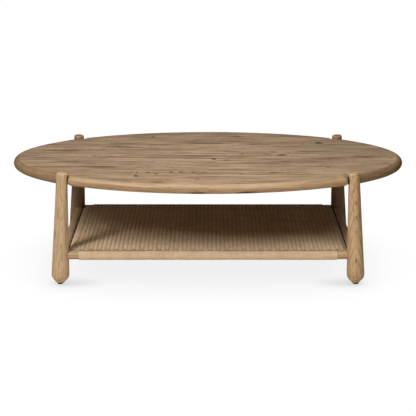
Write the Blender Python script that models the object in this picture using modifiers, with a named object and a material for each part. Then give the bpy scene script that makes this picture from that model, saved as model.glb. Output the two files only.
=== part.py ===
"""Oval oak coffee table: veneered top with a solid rim, four turned legs, round rails, a woven
paper-cord shelf and screw-in glides. Metres, +Z up, X along the length, origin on the floor."""
import math

import bmesh
import bpy
from mathutils import Matrix, Vector

# Driving dimensions
FIT_GAP = 0.0003              # clearance between pieces that touch

TOP_LENGTH = 1.524
TOP_DEPTH = 0.864
TOP_THICKNESS = 0.0365
TOP_HEIGHT = 0.421            # upper face above the floor
RIM_WIDTH = 0.020             # solid rim around the veneered board
VENEER_THICKNESS = 0.0015
NOTCH_GAP = 0.0004            # between a leg and its notch
NOTCH_X = 0.530               # where the rim pieces part inside a notch
NOTCH_MOUTH_RADIUS = 0.018    # rounded corners where a notch opens
MOUTH_ROUNDING = 0.0166       # how far the half-round rim reaches inwards at the mouth
MOUTH_EASE = 0.10             # oval angle over which the rim narrows to the mouth's rounding
NOTCH_THROAT = 0.0145         # rounding just inside the mouth
THROAT_SWEEP = math.radians(60)   # how far round the leg the throat's rounding fades
NOTCH_ARRIS = 0.0015          # softened edge inside a notch

LEG_TOP_HEIGHT = 0.434
LEG_FOOT_X = 0.5598           # leg axis at floor level
LEG_Y = 0.304
LEG_SPLAY = math.radians(2.8)
LEG_FOOT_RADIUS = 0.012
LEG_FOOT_CHAMFER = 0.002
LEG_CONE_START = 0.004        # the foot's cone leaves the chamfer here
LEG_BELLY_RADIUS = 0.0334     # the long taper's radius at the belly height
LEG_BELLY_HEIGHT = 0.040
LEG_CORNER_HEIGHT = 0.0274    # where taper and cone would meet, were the belly not rounded
LEG_BELLY_ROUND = 0.030
LEG_TAPER = 0.034             # radius lost per metre of height
LEG_TOP_ROUND = 0.006

GLIDE_RADIUS = 0.0105
GLIDE_HEIGHT = 0.005
STEM_RADIUS = 0.004           # M8 thread
STEM_LENGTH = 0.026
INSERT_RADIUS = 0.0065
INSERT_LENGTH = 0.020

RAIL_RADIUS = 0.0156
RAIL_HEIGHT = 0.1132          # rail axes above the floor
SIDE_RAIL_X = 0.547
TENON_RADIUS = 0.008
TENON_LENGTH = 0.020
TENON_ROOT = 0.012            # how far a tenon's cylinder starts inside its rail

CORD_DIAMETER = 0.0032
WRAP_HALF_LENGTH = 0.487
SHELF_HALF_LENGTH = 0.522
SHELF_HALF_DEPTH = 0.300

EDGE_BREAK = 0.001            # small chamfer on glides and windings
BOLT_LENGTH = 0.058
BOLT_START = 0.005            # from the leg axis, towards the middle of the top
POCKET_DISTANCE = 0.054       # pocket axis from the leg axis
POCKET_RADIUS = 0.015
POCKET_RISE = 0.011           # pocket ceiling above the bolt
WASHER_THICKNESS = 0.004
WASHER_SIZE = 0.018
WASHER_HALF_HEIGHT = 0.0095
NUT_ACROSS_FLATS = 0.013
NUT_THICKNESS = 0.0065

THROUGH = 0.05                # cutters reach at least this far past what they cut

ROUND_STEPS = 28
BORE_STEPS = 16
FITTING_STEPS = 24            # glides, inserts and pockets
TENON_STEPS = 20
HEXAGON = 6
ELLIPSE_STEPS = 72
RIM_STEPS = 6                 # steps of the half-round rim, face to face

MID_HEIGHT = TOP_HEIGHT - TOP_THICKNESS / 2
UNDERSIDE = TOP_HEIGHT - TOP_THICKNESS
BORE_RADIUS = STEM_RADIUS + FIT_GAP
SIDES = {
    "front_left": (-1, -1),
    "front_right": (1, -1),
    "back_right": (1, 1),
    "back_left": (-1, 1),
}


# Scene and materials
def clear_scene():
    for obj in list(bpy.data.objects):
        bpy.data.objects.remove(obj, do_unlink=True)


def new_collection(name):
    collection = bpy.data.collections.new(name)
    bpy.context.scene.collection.children.link(collection)
    return collection


def new_material(name, color, roughness, metallic=0.0):
    material = bpy.data.materials.new(name)
    material.use_nodes = True
    shader = material.node_tree.nodes["Principled BSDF"]
    shader.inputs["Base Color"].default_value = (*color, 1.0)
    shader.inputs["Roughness"].default_value = roughness
    shader.inputs["Metallic"].default_value = metallic
    return material


def move_to(obj, collection):
    for owner in list(obj.users_collection):
        owner.objects.unlink(obj)
    collection.objects.link(obj)


def as_part(obj, material):
    move_to(obj, PARTS)
    obj.data.materials.clear()
    obj.data.materials.append(material)
    return obj


def as_cutter(obj):
    move_to(obj, CUTTERS)
    obj.hide_render = True
    obj.display_type = "WIRE"
    return obj


# Shared shape helpers
def mesh_object(name, bm):
    bmesh.ops.recalc_face_normals(bm, faces=bm.faces)
    mesh = bpy.data.meshes.new(name)
    bm.to_mesh(mesh)
    bm.free()
    obj = bpy.data.objects.new(name, mesh)
    bpy.context.scene.collection.objects.link(obj)
    return obj


def smooth(obj):
    obj.data.shade_smooth()
    obj.data.set_sharp_from_angle(angle=math.radians(35))
    return obj


def cylinder(name, radius, start, end, steps=ROUND_STEPS):
    """A solid cylinder between two points."""
    start, end = Vector(start), Vector(end)
    axis = end - start
    bm = bmesh.new()
    bmesh.ops.create_cone(bm, cap_ends=True, segments=steps, radius1=radius, radius2=radius,
                          depth=axis.length)
    obj = smooth(mesh_object(name, bm))
    turn = Vector((0, 0, 1)).rotation_difference(axis)
    obj.rotation_euler = turn.to_euler()
    obj.location = (start + end) / 2
    return obj


def box(name, low, high, turn=0.0):
    """A box between two corners; turn rotates it about +Z through its middle."""
    low, high = Vector(low), Vector(high)
    bm = bmesh.new()
    bmesh.ops.create_cube(bm, size=1.0)
    bmesh.ops.scale(bm, verts=bm.verts, vec=high - low)
    obj = mesh_object(name, bm)
    obj.location = (low + high) / 2
    obj.rotation_euler = (0, 0, turn)
    return obj


def boolean(obj, cutter, operation="DIFFERENCE"):
    modifier = obj.modifiers.new(f"{operation.lower()} {cutter.name}", "BOOLEAN")
    modifier.object = cutter
    modifier.operation = operation
    modifier.solver = "EXACT"


def turned(name, profile, steps=ROUND_STEPS):
    """A solid of revolution about local Z; profile is (radius, height), top to bottom."""
    mesh = bpy.data.meshes.new(name)
    edges = [(i, i + 1) for i in range(len(profile) - 1)]
    mesh.from_pydata([(radius, 0, height) for radius, height in profile], edges, [])
    obj = bpy.data.objects.new(name, mesh)
    bpy.context.scene.collection.objects.link(obj)
    screw = obj.modifiers.new("turn", "SCREW")
    screw.steps = steps
    screw.render_steps = steps
    screw.use_merge_vertices = True
    screw.merge_threshold = 0.0001
    screw.use_smooth_shade = True
    return obj


def rounded_corner(before, corner, after, radius, steps):
    """Arc that rounds a profile's corner, as points from one straight side to the other."""
    before, corner, after = Vector(before), Vector(corner), Vector(after)
    side_in = (before - corner).normalized()
    side_out = (after - corner).normalized()
    half_angle = side_in.angle(side_out) / 2
    centre = corner + (side_in + side_out).normalized() * radius / math.sin(half_angle)
    reach = radius / math.tan(half_angle)
    first = corner + side_in * reach - centre
    last = corner + side_out * reach - centre
    sweep = first.angle_signed(last)
    points = []
    for i in range(steps + 1):
        turn = Matrix.Rotation(-sweep * i / steps, 2)
        points.append(tuple(centre + turn @ first))
    return points


# Legs
def leg_radius(height):
    return LEG_BELLY_RADIUS - LEG_TAPER * (height - LEG_BELLY_HEIGHT)


def leg_axis_x(height):
    return LEG_FOOT_X - height * math.tan(LEG_SPLAY)


def leg_profile(grow=0.0):
    """Club outline: cone, rounded belly, long taper and a softened top."""
    top_radius = leg_radius(LEG_TOP_HEIGHT)
    belly = (leg_radius(LEG_CORNER_HEIGHT), LEG_CORNER_HEIGHT)
    half_way = (LEG_TOP_HEIGHT + LEG_BELLY_HEIGHT) / 2
    points = [(0.0, LEG_TOP_HEIGHT + grow)]
    points += rounded_corner((0, LEG_TOP_HEIGHT), (top_radius, LEG_TOP_HEIGHT), belly,
                             LEG_TOP_ROUND, 4)
    points.append((leg_radius(half_way), half_way))
    points += rounded_corner((top_radius, LEG_TOP_HEIGHT), belly, (LEG_FOOT_RADIUS, LEG_CONE_START),
                             LEG_BELLY_ROUND, 5)
    points.append((LEG_FOOT_RADIUS - LEG_FOOT_CHAMFER, LEG_CONE_START - LEG_FOOT_CHAMFER))
    points.append((0.0, LEG_CONE_START - LEG_FOOT_CHAMFER - grow))
    return [(radius + grow if radius > 0 else 0.0, height) for radius, height in points]


def place_leg(obj, side):
    obj.location = (side[0] * LEG_FOOT_X, side[1] * LEG_Y, 0)
    obj.rotation_euler = (0, -side[0] * LEG_SPLAY, 0)


def foot_point(side, height):
    """Point on the upright line through the foot's middle; the glide and its bore lie on it."""
    return Vector((side[0] * leg_axis_x(GLIDE_HEIGHT), side[1] * LEG_Y, height))


def inward(side):
    """Level direction from a leg to the middle of the top, square to the oval's edge."""
    direction = Vector((leg_axis_x(MID_HEIGHT) / TOP_LENGTH ** 2, LEG_Y / TOP_DEPTH ** 2, 0))
    direction.normalize()
    return Vector((-side[0] * direction.x, -side[1] * direction.y, 0))


def joint_point(side, distance):
    """Point on the joint bolt's axis at a distance from the leg axis."""
    middle = Vector((side[0] * leg_axis_x(MID_HEIGHT), side[1] * LEG_Y, MID_HEIGHT))
    return middle + inward(side) * distance


def tenon_span(side, along_x):
    """Start and end of the tenon that enters a leg, from inside the rail to its tip."""
    leg_x = leg_axis_x(RAIL_HEIGHT)
    radius = leg_radius(RAIL_HEIGHT)
    if along_x:
        tip = Vector((side[0] * (leg_x - radius + TENON_LENGTH), side[1] * LEG_Y, RAIL_HEIGHT))
        back = Vector((side[0] * (radius + TENON_ROOT), 0, 0))
    else:
        tip = Vector((side[0] * SIDE_RAIL_X, side[1] * (LEG_Y - radius + TENON_LENGTH), RAIL_HEIGHT))
        back = Vector((0, side[1] * (radius + TENON_ROOT), 0))
    return tip - back, tip


def make_leg(name, side):
    leg = turned(f"leg_{name}", leg_profile())
    place_leg(leg, side)
    as_part(leg, OAK)

    trim = as_cutter(box(f"foot_trim_{name}", (-THROUGH, -THROUGH, -THROUGH),
                         (THROUGH, THROUGH, GLIDE_HEIGHT)))
    trim.location += Vector((side[0] * LEG_FOOT_X, side[1] * LEG_Y, 0))
    boolean(leg, trim)

    insert_bore = cylinder(f"insert_bore_{name}", INSERT_RADIUS + FIT_GAP, foot_point(side, 0),
                           foot_point(side, GLIDE_HEIGHT + INSERT_LENGTH + FIT_GAP), FITTING_STEPS)
    boolean(leg, as_cutter(insert_bore))
    stem_top = GLIDE_HEIGHT + STEM_LENGTH + 2 * FIT_GAP
    stem_bore = cylinder(f"stem_bore_{name}", STEM_RADIUS + 2 * FIT_GAP, foot_point(side, 0),
                         foot_point(side, stem_top), BORE_STEPS)
    boolean(leg, as_cutter(stem_bore))

    bolt_bore = cylinder(f"leg_bolt_bore_{name}", BORE_RADIUS,
                         joint_point(side, BOLT_START - FIT_GAP), joint_point(side, THROUGH), BORE_STEPS)
    boolean(leg, as_cutter(bolt_bore))

    for along_x in (True, False):
        back, tip = tenon_span(side, along_x)
        past_tip = tip + (tip - back).normalized() * FIT_GAP
        socket = cylinder(f"socket_{name}_{'x' if along_x else 'y'}", TENON_RADIUS + FIT_GAP,
                          back, past_tip, TENON_STEPS)
        boolean(leg, as_cutter(socket))


def make_leg_clearance(name, side):
    """The leg's outline grown by the fit gap, which copes the rails to the leg."""
    envelope = turned(f"leg_clearance_{name}", leg_profile(FIT_GAP))
    place_leg(envelope, side)
    as_cutter(envelope)


# Glides
def make_glide(name, side):
    """Disc and threaded stem in one piece, with its origin on the axis it screws along."""
    profile = [
        (0.0, GLIDE_HEIGHT + STEM_LENGTH),
        (STEM_RADIUS - EDGE_BREAK, GLIDE_HEIGHT + STEM_LENGTH),
        (STEM_RADIUS, GLIDE_HEIGHT + STEM_LENGTH - EDGE_BREAK),
        (STEM_RADIUS, GLIDE_HEIGHT - FIT_GAP),
        (GLIDE_RADIUS, GLIDE_HEIGHT - FIT_GAP),
        (GLIDE_RADIUS, EDGE_BREAK),
        (GLIDE_RADIUS - EDGE_BREAK, 0.0),
        (0.0, 0.0),
    ]
    glide = turned(f"glide_{name}", profile, FITTING_STEPS)
    glide.location = foot_point(side, 0)
    as_part(glide, BLACK_NYLON)


def make_insert(name, side):
    low = GLIDE_HEIGHT + FIT_GAP
    insert = cylinder(f"glide_insert_{name}", INSERT_RADIUS, foot_point(side, low),
                      foot_point(side, GLIDE_HEIGHT + INSERT_LENGTH), FITTING_STEPS)
    thread = cylinder(f"insert_thread_{name}", BORE_RADIUS, foot_point(side, 0),
                      foot_point(side, THROUGH), BORE_STEPS)
    boolean(insert, as_cutter(thread))
    as_part(insert, ZINC)


# Top
def oval_point(angle, inset=0.0):
    """Point and inward normal of the oval, moved inwards by inset."""
    half_length, half_depth = TOP_LENGTH / 2, TOP_DEPTH / 2
    point = Vector((half_length * math.cos(angle), half_depth * math.sin(angle)))
    normal = Vector((-math.cos(angle) / half_length, -math.sin(angle) / half_depth)).normalized()
    return point + normal * inset, normal


def mouth_angle(leg, notch_radius, low, high):
    """Oval angle where the rounded mouth corner leaves the oval, found by halving."""
    reach = notch_radius + NOTCH_MOUTH_RADIUS
    for _ in range(40):
        middle = (low + high) / 2
        centre, _normal = oval_point(middle, NOTCH_MOUTH_RADIUS)
        if (centre - leg).length > reach:
            high = middle
        else:
            low = middle
    return (low + high) / 2


def eased(start, end, share):
    """Value between start and end that leaves and arrives gently; it stays at end past 1."""
    share = min(1.0, share)
    return start + (end - start) * share * share * (3 - 2 * share)


def quarter_outline():
    """Outline of the top from the right end to the far middle, round one leg notch.

    Each entry is (point, inward normal, rounding, leg share): rounding is how far the half-round
    rim reaches inwards there, and leg share is how far the outline leans with the leg."""
    leg = Vector((leg_axis_x(MID_HEIGHT), LEG_Y))
    notch_radius = leg_radius(MID_HEIGHT) + NOTCH_GAP
    leg_angle = math.atan2(leg.y / TOP_DEPTH, leg.x / TOP_LENGTH)
    first = mouth_angle(leg, notch_radius, leg_angle, 0.0)
    last = mouth_angle(leg, notch_radius, leg_angle, math.pi / 2)
    full = TOP_THICKNESS / 2

    def rim(angle):
        point, normal = oval_point(angle)
        nearest = min(abs(angle - first), abs(angle - last))
        rounding = eased(MOUTH_ROUNDING, full, nearest / MOUTH_EASE)
        return point, normal, rounding, 0.0

    def corner(angle, steps):
        centre, normal = oval_point(angle, NOTCH_MOUTH_RADIUS)
        to_leg = (leg - centre).normalized()
        sweep = (-normal).angle_signed(to_leg)
        entries = []
        for i in range(1, steps + 1):
            share = i / steps
            outward = Matrix.Rotation(-sweep * share, 2) @ (-normal)
            rounding = MOUTH_ROUNDING + (NOTCH_THROAT - MOUTH_ROUNDING) * share
            entries.append((centre + outward * NOTCH_MOUTH_RADIUS, -outward, rounding, share))
        return entries

    corner_steps, notch_steps = 4, 10
    steps = ELLIPSE_STEPS // 8
    rest = math.pi / 2 - last
    before = [rim(first * i / steps) for i in range(steps + 1)]
    after = [rim(last + rest * i / steps) for i in range(steps + 1)]
    corner_in = corner(first, corner_steps)
    corner_out = corner(last, corner_steps)
    start = corner_in[-1][0] - leg
    end = corner_out[-1][0] - leg
    sweep = start.angle_signed(end)
    if sweep < 0:
        sweep += 2 * math.pi
    notch = []
    for i in range(1, notch_steps):
        away = Matrix.Rotation(-sweep * i / notch_steps, 2) @ start.normalized()
        past_mouth = min(i, notch_steps - i) * sweep / notch_steps
        rounding = eased(NOTCH_THROAT, NOTCH_ARRIS, past_mouth / THROAT_SWEEP)
        notch.append((leg + away * notch_radius, away, rounding, 1.0))
    return before + corner_in + notch + corner_out[::-1] + after


def top_outline():
    """The whole outline, anticlockwise, mirrored from one quarter."""
    quarter = quarter_outline()
    mirrored = []
    for side_x, side_y in ((1, 1), (-1, 1), (-1, -1), (1, -1)):
        flip = Vector((side_x, side_y))
        copy = [(point * flip, normal * flip, rounding, share, side_x)
                for point, normal, rounding, share in quarter]
        if side_x * side_y < 0:
            copy.reverse()
        mirrored += copy[:-1]
    return mirrored


def make_top_blank():
    """The whole top as one solid, from which the board, veneers and rim pieces are cut."""
    outline = top_outline()
    bm = bmesh.new()
    rings = []
    for step in range(RIM_STEPS + 1):
        turn = math.pi * step / RIM_STEPS
        rise = TOP_THICKNESS / 2 * math.cos(turn)
        ring = []
        for point, normal, rounding, share, side_x in outline:
            spot = point + normal * rounding * (1 - math.sin(turn))
            spot = spot - normal * share * LEG_TAPER * rise
            lean = -side_x * share * math.tan(LEG_SPLAY) * rise
            ring.append(bm.verts.new((spot.x + lean, spot.y, MID_HEIGHT + rise)))
        rings.append(ring)
    count = len(outline)
    for upper, lower in zip(rings, rings[1:]):
        for i in range(count):
            j = (i + 1) % count
            bm.faces.new((upper[i], lower[i], lower[j], upper[j]))
    bm.faces.new(rings[0])
    bm.faces.new(rings[-1])
    return smooth(mesh_object("top_blank", bm))


def oval_prism(name, inset, low, high):
    """Upright oval block, smaller than the top by inset, between two heights."""
    bm = bmesh.new()
    bmesh.ops.create_cone(bm, cap_ends=True, segments=ELLIPSE_STEPS, radius1=1, radius2=1, depth=1)
    size = Vector((TOP_LENGTH / 2 - inset, TOP_DEPTH / 2 - inset, high - low))
    bmesh.ops.scale(bm, verts=bm.verts, vec=size)
    obj = mesh_object(name, bm)
    obj.location = (0, 0, (low + high) / 2)
    return obj


def copy_of(obj, name):
    copy = bpy.data.objects.new(name, obj.data.copy())
    bpy.context.scene.collection.objects.link(copy)
    return copy


def make_board(blank):
    """Core board and its two veneers, each the inner part of the blank between two heights."""
    face_low = TOP_HEIGHT - VENEER_THICKNESS
    backing_high = UNDERSIDE + VENEER_THICKNESS
    layers = {
        "top_face_veneer": (face_low, TOP_HEIGHT + THROUGH, OAK_VENEER),
        "top_core": (backing_high + FIT_GAP, face_low - FIT_GAP, BOARD),
        "top_backing_veneer": (UNDERSIDE - THROUGH, backing_high, OAK_VENEER),
    }
    layer_bores = {"top_core": ("pocket", "bolt_bore"), "top_backing_veneer": ("pocket",)}
    for name, (low, high, material) in layers.items():
        layer = as_part(copy_of(blank, name), material)
        inner = oval_prism(f"{name}_range", RIM_WIDTH + FIT_GAP, low, high)
        boolean(layer, as_cutter(inner), "INTERSECT")
        for kind in layer_bores.get(name, ()):
            for side_name in SIDES:
                boolean(layer, bpy.data.objects[f"{kind}_{side_name}"])


def make_joint_cutters():
    """Nut pocket and bolt bore of each leg joint, cut from the board."""
    for name, side in SIDES.items():
        middle = joint_point(side, POCKET_DISTANCE)
        low = Vector((middle.x, middle.y, UNDERSIDE - THROUGH))
        high = Vector((middle.x, middle.y, MID_HEIGHT + POCKET_RISE))
        as_cutter(cylinder(f"pocket_{name}", POCKET_RADIUS, low, high, FITTING_STEPS))
        as_cutter(cylinder(f"bolt_bore_{name}", BORE_RADIUS, joint_point(side, 0),
                           joint_point(side, POCKET_DISTANCE), BORE_STEPS))


def make_rim(blank):
    """Solid rim in six lengths, parted by the notches and by a butt joint at each middle."""
    low_z, high_z = UNDERSIDE - THROUGH, TOP_HEIGHT + THROUGH
    inner = as_cutter(oval_prism("rim_inside", RIM_WIDTH, low_z, high_z))
    far = TOP_LENGTH
    half_joint = FIT_GAP / 2
    spans = {
        "rim_front_left": ((-NOTCH_X, -far), (-half_joint, 0)),
        "rim_front_right": ((half_joint, -far), (NOTCH_X, 0)),
        "rim_back_left": ((-NOTCH_X, 0), (-half_joint, far)),
        "rim_back_right": ((half_joint, 0), (NOTCH_X, far)),
        "rim_left": ((-far, -far), (-NOTCH_X, far)),
        "rim_right": ((NOTCH_X, -far), (far, far)),
    }
    for name, (low, high) in spans.items():
        length = as_part(copy_of(blank, name), OAK_RIM)
        boolean(length, inner)
        span = box(f"{name}_span", (*low, low_z), (*high, high_z))
        boolean(length, as_cutter(span), "INTERSECT")


# Joint hardware
def make_joint_hardware(name, side):
    bolt = cylinder(f"joint_bolt_{name}", STEM_RADIUS, joint_point(side, BOLT_START),
                    joint_point(side, BOLT_START + BOLT_LENGTH), BORE_STEPS)
    as_part(bolt, ZINC)

    along = math.atan2(inward(side).y, inward(side).x)
    near_wall = POCKET_DISTANCE - POCKET_RADIUS + EDGE_BREAK
    middle = joint_point(side, POCKET_DISTANCE)
    drop = Vector((0, 0, WASHER_HALF_HEIGHT))
    washer = cylinder(f"joint_washer_{name}", POCKET_RADIUS - FIT_GAP, middle - drop, middle + drop,
                      FITTING_STEPS)
    plate_middle = joint_point(side, near_wall + WASHER_THICKNESS / 2)
    plate_size = Vector((WASHER_THICKNESS, WASHER_SIZE, WASHER_SIZE))
    plate = box(f"washer_plate_{name}", plate_middle - plate_size / 2, plate_middle + plate_size / 2,
                along)
    boolean(washer, as_cutter(plate), "INTERSECT")
    hole = as_cutter(cylinder(f"washer_hole_{name}", BORE_RADIUS, joint_point(side, BOLT_START),
                              joint_point(side, POCKET_DISTANCE + POCKET_RADIUS), BORE_STEPS))
    boolean(washer, hole)
    as_part(washer, ZINC)

    nut_start = near_wall + WASHER_THICKNESS + FIT_GAP
    nut = cylinder(f"joint_nut_{name}", NUT_ACROSS_FLATS / 2 / math.cos(math.pi / 6),
                   joint_point(side, nut_start), joint_point(side, nut_start + NUT_THICKNESS), HEXAGON)
    boolean(nut, hole)
    as_part(nut, ZINC)


# Shelf
def make_rail(name, ends, along_x):
    """Round rail coped to its two legs, with a turned tenon at each end."""
    points = [tenon_span(SIDES[end], along_x)[1] for end in ends]
    rail = cylinder(f"rail_{name}", RAIL_RADIUS, points[0], points[1])
    for end in ends:
        boolean(rail, bpy.data.objects[f"leg_clearance_{end}"])
    for end in ends:
        back, tip = tenon_span(SIDES[end], along_x)
        tenon = as_cutter(cylinder(f"tenon_{name}_{end}", TENON_RADIUS, back, tip, TENON_STEPS))
        boolean(rail, tenon, "UNION")
    as_part(rail, OAK)


def make_wrap(name, side_y):
    """The close winding of cord on a long rail, as one sleeve."""
    inner = RAIL_RADIUS + FIT_GAP
    outer = RAIL_RADIUS + CORD_DIAMETER
    half = WRAP_HALF_LENGTH
    profile = [(inner, half), (outer - EDGE_BREAK, half), (outer, half - EDGE_BREAK),
               (outer, EDGE_BREAK - half), (outer - EDGE_BREAK, -half), (inner, -half), (inner, half)]
    wrap = turned(f"cord_wrap_{name}", profile)
    wrap.rotation_euler = (0, math.pi / 2, 0)
    wrap.location = (0, side_y * LEG_Y, RAIL_HEIGHT)
    as_part(wrap, PAPER_CORD)


def make_shelf():
    """The woven bed as one slab, coped to the windings at its front and back."""
    warp_middle = RAIL_HEIGHT + RAIL_RADIUS + CORD_DIAMETER / 2
    half_height = CORD_DIAMETER * 1.5         # a warp with one weft above it and one below
    low = (-SHELF_HALF_LENGTH, -SHELF_HALF_DEPTH, warp_middle - half_height)
    high = (SHELF_HALF_LENGTH, SHELF_HALF_DEPTH, warp_middle + half_height)
    shelf = as_part(box("woven_shelf", low, high), PAPER_CORD)
    for name, side_y in (("front", -1), ("back", 1)):
        start = (-LEG_FOOT_X, side_y * LEG_Y, RAIL_HEIGHT)
        end = (LEG_FOOT_X, side_y * LEG_Y, RAIL_HEIGHT)
        winding = cylinder(f"wrap_clearance_{name}", RAIL_RADIUS + CORD_DIAMETER + FIT_GAP, start, end)
        boolean(shelf, as_cutter(winding))


clear_scene()
PARTS = new_collection("oval_coffee_table")
CUTTERS = new_collection("cutters")
OAK = new_material("oak", (0.42, 0.29, 0.17), 0.55)
OAK_RIM = new_material("oak_rim", (0.43, 0.29, 0.16), 0.52)
OAK_VENEER = new_material("oak_veneer", (0.36, 0.25, 0.16), 0.5)
BOARD = new_material("core_board", (0.35, 0.26, 0.17), 0.8)
PAPER_CORD = new_material("paper_cord", (0.52, 0.38, 0.23), 0.85)
BLACK_NYLON = new_material("black_nylon", (0.02, 0.02, 0.02), 0.6)
ZINC = new_material("zinc_plated_steel", (0.62, 0.63, 0.65), 0.35, 1.0)

for side_name, side_signs in SIDES.items():
    make_leg(side_name, side_signs)
    make_leg_clearance(side_name, side_signs)
    make_glide(side_name, side_signs)
    make_insert(side_name, side_signs)
    make_joint_hardware(side_name, side_signs)

make_joint_cutters()
top_blank = make_top_blank()
make_board(top_blank)
make_rim(top_blank)
bpy.data.objects.remove(top_blank, do_unlink=True)

make_rail("front", ("front_left", "front_right"), True)
make_rail("back", ("back_left", "back_right"), True)
make_rail("left", ("front_left", "back_left"), False)
make_rail("right", ("front_right", "back_right"), False)
make_wrap("front", -1)
make_wrap("back", 1)
make_shelf()
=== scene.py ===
"""Looks of the oval oak coffee table: finely turned and veneered oak, real paper-cord winding and
weaving, nylon glides, and a pale studio. Metres, +Z up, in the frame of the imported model."""
from math import atan2, cos, hypot, pi, radians, sin, sqrt, tan

import bmesh
import bpy
import numpy as np
from mathutils import Matrix, Vector


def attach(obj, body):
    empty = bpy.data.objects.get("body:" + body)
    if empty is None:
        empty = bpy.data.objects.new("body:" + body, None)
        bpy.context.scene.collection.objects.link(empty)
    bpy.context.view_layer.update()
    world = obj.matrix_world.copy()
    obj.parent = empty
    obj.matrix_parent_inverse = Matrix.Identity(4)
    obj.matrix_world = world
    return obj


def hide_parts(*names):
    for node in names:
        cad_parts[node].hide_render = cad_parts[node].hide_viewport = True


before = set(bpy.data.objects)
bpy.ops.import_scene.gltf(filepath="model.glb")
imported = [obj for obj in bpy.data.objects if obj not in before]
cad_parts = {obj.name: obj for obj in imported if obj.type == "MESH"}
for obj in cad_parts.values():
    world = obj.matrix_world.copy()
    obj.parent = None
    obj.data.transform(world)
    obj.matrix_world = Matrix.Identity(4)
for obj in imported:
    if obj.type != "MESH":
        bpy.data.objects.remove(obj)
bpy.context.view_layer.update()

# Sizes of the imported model
FIT_GAP = 0.0003
TOP_LENGTH = 1.524
TOP_DEPTH = 0.864
TOP_THICKNESS = 0.0365
TOP_HEIGHT = 0.421
RIM_WIDTH = 0.020
VENEER_THICKNESS = 0.0015
NOTCH_GAP = 0.0004
NOTCH_MOUTH_RADIUS = 0.018
NOTCH_THROAT = 0.0145
NOTCH_ARRIS = 0.0015
THROAT_SWEEP = radians(60)
NOTCH_X = 0.530
LEG_TOP_HEIGHT = 0.434
LEG_FOOT_X = 0.5598
LEG_Y = 0.304
LEG_SPLAY = radians(2.8)
LEG_FOOT_RADIUS = 0.012
LEG_BELLY_RADIUS = 0.0334
LEG_BELLY_HEIGHT = 0.040
LEG_TAPER = 0.034
LEG_TOP_ROUND = 0.006
LEG_BELLY_ROUND = 0.030
LEG_CORNER_HEIGHT = 0.0274  # where the taper and the foot's cone would meet unrounded
GLIDE_RADIUS = 0.0105
GLIDE_HEIGHT = 0.005
STEM_RADIUS = 0.004
STEM_LENGTH = 0.026
INSERT_RADIUS = 0.0065
INSERT_LENGTH = 0.020
RAIL_RADIUS = 0.0156
RAIL_HEIGHT = 0.1132
SIDE_RAIL_X = 0.547
TENON_RADIUS = 0.008
TENON_LENGTH = 0.020
TENON_BACK = 0.012  # how far a tenon's solid reaches back into its rail
CORD_RADIUS = 0.0016
WRAP_HALF_LENGTH = 0.4855
FOOT_CUTTER = 0.05
BOLT_START = 0.005
POCKET_DISTANCE = 0.054
POCKET_RADIUS = 0.015
MID_HEIGHT = TOP_HEIGHT - TOP_THICKNESS / 2
UNDERSIDE = TOP_HEIGHT - TOP_THICKNESS

FACE_DEPTH = 0.09  # how far the face veneer is from its log's pith

# Fineness of the visual meshes
TURN_STEPS = 96
BORE_STEPS = 48
TENON_STEPS = 40
OVAL_STEPS = 360
EDGE_STEPS = 28

# Signs that mirror a point of the back right quarter to each leg's quarter
SIDES = {
    "front_left": Vector((-1, -1, 1)),
    "front_right": Vector((1, -1, 1)),
    "back_right": Vector((1, 1, 1)),
    "back_left": Vector((-1, 1, 1)),
}
RNG = np.random.default_rng(41)


# Camera and studio
FLOOR_HALF = 30.0
DOME_RADIUS = 29.0
WHITE = (1.0, 1.0, 1.0, 1.0)
BLACK = (0.0, 0.0, 0.0, 1.0)


def link(name, data):
    obj = bpy.data.objects.new(name, data)
    bpy.context.scene.collection.objects.link(obj)
    return obj


def make_camera():
    data = bpy.data.cameras.new("camera")
    data.sensor_width = 36.0
    data.lens = 101.86
    data.clip_end = 100.0
    camera = link("camera", data)
    camera.location = (0.0, -4.496, 1.559)
    camera.rotation_euler = (radians(73.26), 0.0, 0.0)
    bpy.context.scene.camera = camera


def area_light(name, place, target, size, power):
    data = bpy.data.lights.new(name, "AREA")
    data.shape = "RECTANGLE"
    data.size, data.size_y = size
    data.energy = power
    light = link(name, data)
    light.location = place
    aim = Vector(target) - Vector(place)
    light.rotation_euler = aim.to_track_quat("-Z", "Y").to_euler()
    light.visible_camera = False
    return light


def make_plane(name, height):
    mesh = bpy.data.meshes.new(name)
    corners = [Vector((FLOOR_HALF, FLOOR_HALF, height)) * side for side in SIDES.values()]
    mesh.from_pydata(corners, [], [(0, 1, 2, 3)])
    plane = link(name, mesh)
    return plane


def show_to_camera_only(obj, graph, glow):
    """Gives a stage object a black surface that glows for the camera and lights nothing."""
    graph.feed_shader(("Base Color", BLACK), ("Roughness", 1.0), ("Specular IOR Level", 0.0),
                      ("Emission Color", WHITE), ("Emission Strength", glow))
    paint(obj, graph.material)
    obj.visible_diffuse = obj.visible_glossy = obj.visible_shadow = False


def make_dome():
    """White surroundings beyond the floor, for low views."""
    bm = bmesh.new()
    bmesh.ops.create_uvsphere(bm, u_segments=64, v_segments=32, radius=DOME_RADIUS)
    dome = mesh_object("studio_dome", bm)
    show_to_camera_only(dome, Graph("studio_dome"), 1.0)


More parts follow.
